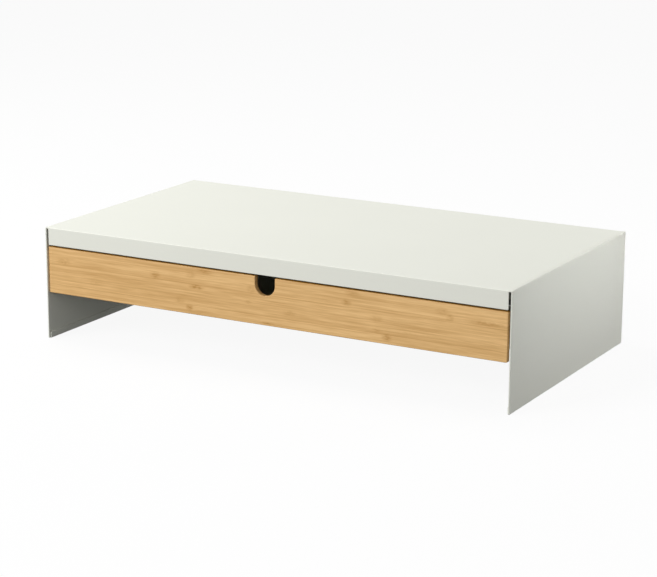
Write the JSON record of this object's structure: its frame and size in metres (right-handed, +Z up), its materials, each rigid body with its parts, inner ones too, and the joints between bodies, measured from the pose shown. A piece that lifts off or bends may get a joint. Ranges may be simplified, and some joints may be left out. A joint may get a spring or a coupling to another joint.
{
  "type": "monitor stand with drawer",
  "caption": "Low bent-steel desk riser for a monitor, with a sliding drawer that has a bamboo front and a finger notch, and space for a keyboard beneath.",
  "frame": {"origin": "middle of the footprint, on the desk", "axes": "+X along the width to the right as seen from the front, +Y from the front to the back, +Z up; the drawer opens towards -Y"},
  "size_m": [0.47, 0.252, 0.106],
  "materials": {
    "powder_coat": "warm off-white polyester powder coating, fine orange peel, satin matt",
    "zinc_plate": "bright zinc plating, satin",
    "acetal": "moulded acetal, natural white, slippery",
    "nylon": "moulded black nylon",
    "rubber": "moulded black rubber, matt",
    "bamboo": "laminated bamboo, clear matt lacquer, fine grain along the board"
  },
  "bodies": {
    "stand": {"top_shell": "powder_coat", "top_stiffener": "powder_coat", "left_runner": "zinc_plate", "right_runner": "zinc_plate", "left_runner_studs": "zinc_plate", "right_runner_studs": "zinc_plate", "left_runner_nuts": "zinc_plate", "right_runner_nuts": "zinc_plate", "left_front_glide": "acetal", "right_front_glide": "acetal", "left_glide_rivet": "nylon", "right_glide_rivet": "nylon", "left_rear_bumper": "rubber", "right_rear_bumper": "rubber"},
    "drawer": {"drawer_tray": "powder_coat", "drawer_front": "bamboo", "front_screws": "zinc_plate", "left_rear_slider": "acetal", "right_rear_slider": "acetal", "left_slider_rivet": "nylon", "right_slider_rivet": "nylon"}
  },
  "joints": [
    {"name": "drawer_slide", "type": "slide", "parent": "stand", "child": "drawer", "axis": [0, -1, 0], "range_m": [0, 0.179]}
  ]
}
